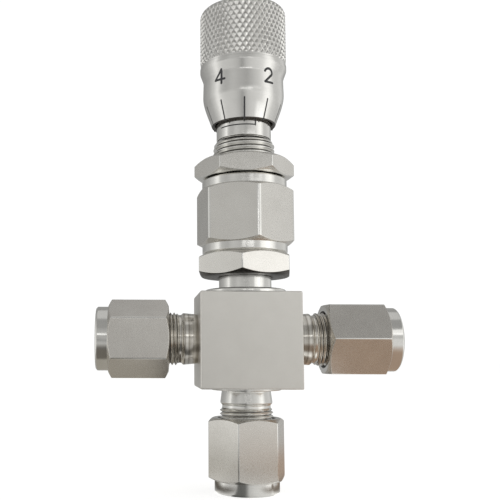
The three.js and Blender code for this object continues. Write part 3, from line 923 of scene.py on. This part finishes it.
def screw_hole(node):
    """The bore for one of the grip's set screws, with a countersunk mouth."""
    place = (Vector(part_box(node)[0]) + Vector(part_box(node)[1])) / 2 - CROSSING
    outwards = Vector((place.x, place.y, 0)).to_track_quat("Z", "Y").to_matrix().to_4x4()
    radius, foot, mouth = 1.25, 2.5, GRIP_RADIUS - 0.2
    outside, depth = 0.45, 0.25  # the countersink's cone reaches past the mouth and below it
    profile = [
        (0, foot),
        (radius, foot),
        (radius, mouth - depth),
        (radius + depth + outside, mouth + outside),
        (0, mouth + outside),
    ]
    mesh = mesh_of([(swept(circle(48), profile), 0)])
    mesh.transform(Matrix.Translation((0, 0, place.z / MM)) @ outwards)
    return mesh


def build_thimble():
    """The handle: rim, cone with lines, numeral band and knurled grip, with room for sleeve and spindle."""
    angles = circle(KNURL_COUNT * KNURL_STEPS)
    lower = [
        (THIMBLE_RIM, THIMBLE_LOW, 0.06),
        (THIMBLE_RIM + 0.18, THIMBLE_LOW + 0.2, 0.06),
        (8.2, 49.5, 1.1),
        (8.7, 51.55, 0.9),
        (8.58, 55.75, 0.6),
        (GRIP_RADIUS, GRIP_LOW, 0.25),
        (GRIP_RADIUS, 58.5, 0.06),
        (LAND_RADIUS, 58.55, 0.05),
        (LAND_RADIUS, 58.9, 0.05),
        (LAND_RADIUS, KNURL_LOW - 0.05),
    ]
    stalk_bore, stalk_roof, room_roof = 2.06, 68.9, 61.6
    inside = [
        (CROWN_RADIUS - 0.3, THIMBLE_HIGH),
        (0, THIMBLE_HIGH),
        (0, stalk_roof),
        (stalk_bore, stalk_roof),
        (stalk_bore, room_roof),
        (THIMBLE_BORE, room_roof, 0.3),
        (THIMBLE_BORE, THIMBLE_LOW + 0.45, 0.06),
        (THIMBLE_RIM - 0.14, THIMBLE_LOW + 0.05, 0.04),
        (THIMBLE_RIM, THIMBLE_LOW),
    ]
    rows = [swept(angles, lower), knurl_rows(angles), swept(angles, inside)]
    mesh = mesh_of([(np.concatenate(rows), 0)])
    holes = [screw_hole(name) for name in frame["nodes"] if name.startswith("thimble_set_screw")]
    mesh = combined(mesh, holes, "DIFFERENCE")
    outline = swept(angles[:1], lower)[:, 0]

    def surface(height):
        return np.interp(height, outline[:, 2], -outline[:, 1])

    marks = []
    heights = np.linspace(LINE_LOW, LINE_HIGH, 24)
    for number in range(SCALE_DIVISIONS):
        angle = math.radians(SCALE_TWO + SCALE_STEP * (number - 2))
        marks.append((np.stack([np.full_like(heights, angle), heights], axis=1), LINE_STROKE))
        if number % 2 == 0:
            paths = numeral_paths(number, angle, NUMERAL_MIDDLE, surface)
            marks += [(path, NUMERAL_STROKE) for path in paths]
    mesh = engraved(mesh, marks, surface, "thimble_marks", "knob")

    # Painted shade on the downward faces at the rim's foot, over the sleeve.
    def rim_underside(face):
        return face.center.z < THIMBLE_LOW + 0.5 and face.normal.z < -0.5

    regions = [("painted_shade_steel", UPRIGHT, rim_underside)]
    piece("thimble_form", mesh, "knob", "thimble_steel", ["thimble"], regions=regions)


# ---- Inner pieces keep their CAD shape ----


def finish_inner_nodes():
    """Gives every CAD node a procedural material for its slot, turned to its own axis."""
    slots = {part["node"]: part["material_slot"] for part in frame["record"]["subparts"]}
    for name, obj in frame["nodes"].items():
        turn = next((port["turn"] for side, port in PORTS.items() if name.endswith(side)), UPRIGHT)
        obj.data.materials.clear()
        obj.data.materials.append(MATERIALS[slots[name]](turn))


# ---- Floor, light and camera ----

# Brightness of the studio's walls and of the floor by direction, in degrees from the front towards the
# right. Only the steel reflects them; the camera itself sees plain white.
WALL_STOPS = [
    (-180, 0.32),
    (-150, 0.34),
    (-122, 0.44),
    (-100, 0.66),
    (-91, 0.88),
    (-83, 1.08),
    (-76, 0.64),
    (-70, 0.52),
    (-56, 0.47),
    (-38, 0.58),
    (-16, 0.5),
    (4, 0.42),
    (16, 0.54),
    (34, 0.68),
    (46, 0.8),
    (57, 1.12),
    (68, 1.25),
    (77, 0.95),
    (86, 0.62),
    (100, 0.64),
    (124, 0.74),
    (146, 0.42),
    (180, 0.32),
]
FLOOR_STOPS = [
    (-180, 0.36),
    (-118, 0.42),
    (-98, 0.62),
    (-90, 0.86),
    (-83, 1.06),
    (-75, 0.76),
    (-62, 0.64),
    (-38, 0.62),
    (-20, 0.52),
    (-9, 0.26),
    (0, 0.55),
    (14, 0.66),
    (34, 0.72),
    (46, 0.8),
    (57, 1.12),
    (68, 1.25),
    (78, 1.0),
    (90, 0.66),
    (130, 0.5),
    (180, 0.36),
]
# How strongly the painted dark reflection in front of the object shows, by the same directions.
STREAK_STOPS = [
    (-180, 0.0),
    (-40, 0.0),
    (-33, 1.0),
    (-14, 1.0),
    (-6, 0.0),
    (180, 0.0),
]


def floor_glow(tree, place):
    """What the steel sees of the floor, painted into its glow: brighter towards the side walls, with a painted
    shadow, brown and dark, by the object and a painted dark reflection just in front of it.

    Places and distances are in metres, from the foot of the valve's axis.
    """
    turn, parts = tree.azimuth(place)
    distance = tree.node("ShaderNodeVectorMath", [(0, place)], operation="LENGTH").outputs["Value"]
    aside = tree.math("ABSOLUTE", parts["X"])

    # Painted shadow colours under the arms: left or right of the axis, in front of it, close to it.
    to_right = tree.ramp(parts["X"], -0.01, 0.02, 0, 1)
    in_front = tree.ramp(parts["Y"], -0.012, -0.008, 1, 0)
    left = tree.mix(in_front, colour(0.34, 0.32, 0.28), colour(0.13, 0.118, 0.1))
    outer = tree.mix(to_right, left, colour(0.37, 0.27, 0.2))
    inner = tree.mix(to_right, colour(0.08, 0.07, 0.058), colour(0.2, 0.16, 0.125))
    shadow = tree.mix(tree.ramp(aside, 0.014, 0.02, 0, 1), inner, outer)

    # The shadow covers what lies under the arms, apart from a ring beside the bottom nut.
    ring_outside = tree.ramp(distance, 0.022, 0.03, 1, 0)
    ring_inside = tree.ramp(distance, 0.0155, 0.0175, 0, 1)
    ring = tree.math("MULTIPLY", ring_outside, ring_inside)
    ring = tree.math("MULTIPLY", ring, tree.ramp(parts["Y"], 0.002, 0.006, 1, 0))
    beyond_ring = tree.math("SUBTRACT", 1.0, ring)
    under_arms = tree.math("MULTIPLY", tree.ramp(aside, 0.006, 0.011, 0, 1), beyond_ring)
    shade = tree.math("MULTIPLY", tree.ramp(distance, 0.055, 0.1, 1, 0), under_arms)
    glow = tree.mix(shade, tree.stops(turn, FLOOR_STOPS), shadow)

    # A painted dark reflection on the floor just in front of the object.
    near = tree.ramp(distance, 0.05, 0.07, 1, 0)
    streak = tree.math("MULTIPLY", near, tree.stops(turn, STREAK_STOPS))
    return tree.mix(streak, glow, colour(0.1, 0.1, 0.097))


def build_floor():
    """A plain white floor to the camera, with a glow of its own that the steel reflects."""
    half = 4.0
    corners = [(-half, -half, 0), (half, -half, 0), (half, half, 0), (-half, half, 0)]
    mesh = bpy.data.meshes.new("floor")
    mesh.from_pydata(corners, [], [(0, 1, 2, 3)])
    floor = bpy.data.objects.new("floor", mesh)
    bpy.context.scene.collection.objects.link(floor)
    tree = Tree(bpy.data.materials.new("floor_white"))
    place = tree.node("ShaderNodeTexCoord").outputs["Object"]
    seen = tree.node("ShaderNodeLightPath").outputs["Is Camera Ray"]
    white = tree.mix(tree.noise(place, 30.0), colour(0.86, 0.86, 0.86), colour(0.9, 0.9, 0.9))
    base = tree.mix(seen, colour(0.02, 0.02, 0.02), white)
    glow = tree.mix(seen, floor_glow(tree, place), colour(0.66, 0.66, 0.66))
    tree.feed(tree.shader.inputs["Base Color"], base)
    tree.feed(tree.shader.inputs["Emission Color"], glow)
    tree.shader.inputs["Emission Strength"].default_value = 1.0
    tree.shader.inputs["Roughness"].default_value = 0.8
    mesh.materials.append(tree.owner)


def build_world():
    """White behind the object; round it a dim studio with a bright side wall on either hand.

    The walls blend into the floor's brightness near the horizon and into a dim overhead further up.
    """
    world = bpy.data.worlds.new("studio")
    bpy.context.scene.world = world
    tree = Tree(world)
    turn, parts = tree.azimuth(tree.node("ShaderNodeTexCoord").outputs["Generated"])
    height = tree.math("DEGREES", tree.math("ARCSINE", parts["Z"]))
    horizon, walls = tree.stops(turn, FLOOR_STOPS), tree.stops(turn, WALL_STOPS)
    walls = tree.mix(tree.ramp(height, 1.0, 4.0, 0, 1), horizon, walls)
    studio = tree.mix(tree.ramp(height, 30.0, 38.0, 0, 1), walls, colour(0.345, 0.345, 0.34))
    tree.feed(tree.shader.inputs["Color"], studio)
    white = tree.node("ShaderNodeBackground", [("Color", colour(1, 1, 1)), ("Strength", 1.05)])
    seen = tree.node("ShaderNodeLightPath").outputs["Is Camera Ray"]
    choice = [(0, seen), (1, tree.shader.outputs[0]), (2, white.outputs[0])]
    choose = tree.node("ShaderNodeMixShader", choice)
    tree.feed(tree.nodes["World Output"].inputs["Surface"], choose.outputs[0])


CARD_DISTANCE = 0.3  # metres in front of the valve
# Name, metres to the right of the valve and above its port axes, width, height and watts.
FRONT_CARDS = [
    ("front_strip", 0.037, 0.075, 0.1, 0.02, 0.008),
    ("left_strip", -0.05, 0.075, 0.05, 0.02, 0.004),
    ("front_card", 0.13, 0.103, 0.2, 0.026, 0.0057),
]


def area_light(name, place, target, width, height, watts):
    """A rectangular light aimed at a target, which the camera doesn't see. In metres."""
    light = bpy.data.lights.new(name, "AREA")
    light.shape = "RECTANGLE"
    light.size, light.size_y = width, height
    light.energy = watts
    obj = bpy.data.objects.new(name, light)
    obj.location = place
    obj.rotation_euler = (Vector(target) - Vector(place)).to_track_quat("-Z", "Y").to_euler()
    obj.visible_camera = False
    bpy.context.scene.collection.objects.link(obj)


def build_lights():
    """A soft top light, and low cards in front that give the turned pieces their highlights."""
    area_light("top_softbox", (0.1, 0.1, 0.9), CROSSING, 0.8, 0.8, 0.5)
    for name, across, up, width, height, watts in FRONT_CARDS:
        place = CROSSING + Vector((across, -CARD_DISTANCE, up))
        area_light(name, place, CROSSING, width, height, watts)
    lock_flat = CROSSING + Vector((0.003, -0.0087, 0.0155))
    beside = lock_flat + Vector((0.044, -0.039, 0.0065))
    area_light("side_card", beside, lock_flat, 0.03, 0.018, 0.0008)


def build_camera():
    """A camera close in front of the block and a little to its left, looking slightly up."""
    place = Vector((-0.02153, -0.15647, CROSSING.z - 0.00354))
    yaw, pitch, roll = 0.009, 0.110, 0.004
    flat = Vector((math.sin(yaw), math.cos(yaw), 0))
    forward = flat * math.cos(pitch) + Vector((0, 0, math.sin(pitch)))
    level_right = Vector((math.cos(yaw), -math.sin(yaw), 0))
    level_up = level_right.cross(forward)
    right = level_right * math.cos(roll) + level_up * math.sin(roll)
    up = level_up * math.cos(roll) - level_right * math.sin(roll)
    camera = bpy.data.cameras.new("camera")
    camera.lens, camera.sensor_width = 53.57, 36.0
    camera.shift_x, camera.shift_y = 0.2, 0.047
    camera.clip_start = 0.01
    obj = bpy.data.objects.new("camera", camera)
    axes = Matrix((right, up, -forward)).transposed().to_4x4()
    obj.matrix_world = Matrix.Translation(place) @ axes
    bpy.context.scene.collection.objects.link(obj)
    bpy.context.scene.camera = obj


# ---- Assembly ----

finish_inner_nodes()
build_block()
for port_side, port_facts in PORTS.items():
    build_tube_nut(port_side, port_facts)
# The lock nut's underside is painted dark as shade.
plain_hex_nut("lock_nut", LOCK_CORNER, FITTING_THREAD, "painted_shade_steel")
build_union_nut()
plain_hex_nut("panel_nut", PANEL_CORNER, BONNET_THREAD, "turned_steel")
build_bonnet()
build_sleeve()
build_thimble()

build_floor()
build_world()
build_lights()
build_camera()
bpy.context.scene.view_settings.view_transform = "Standard"
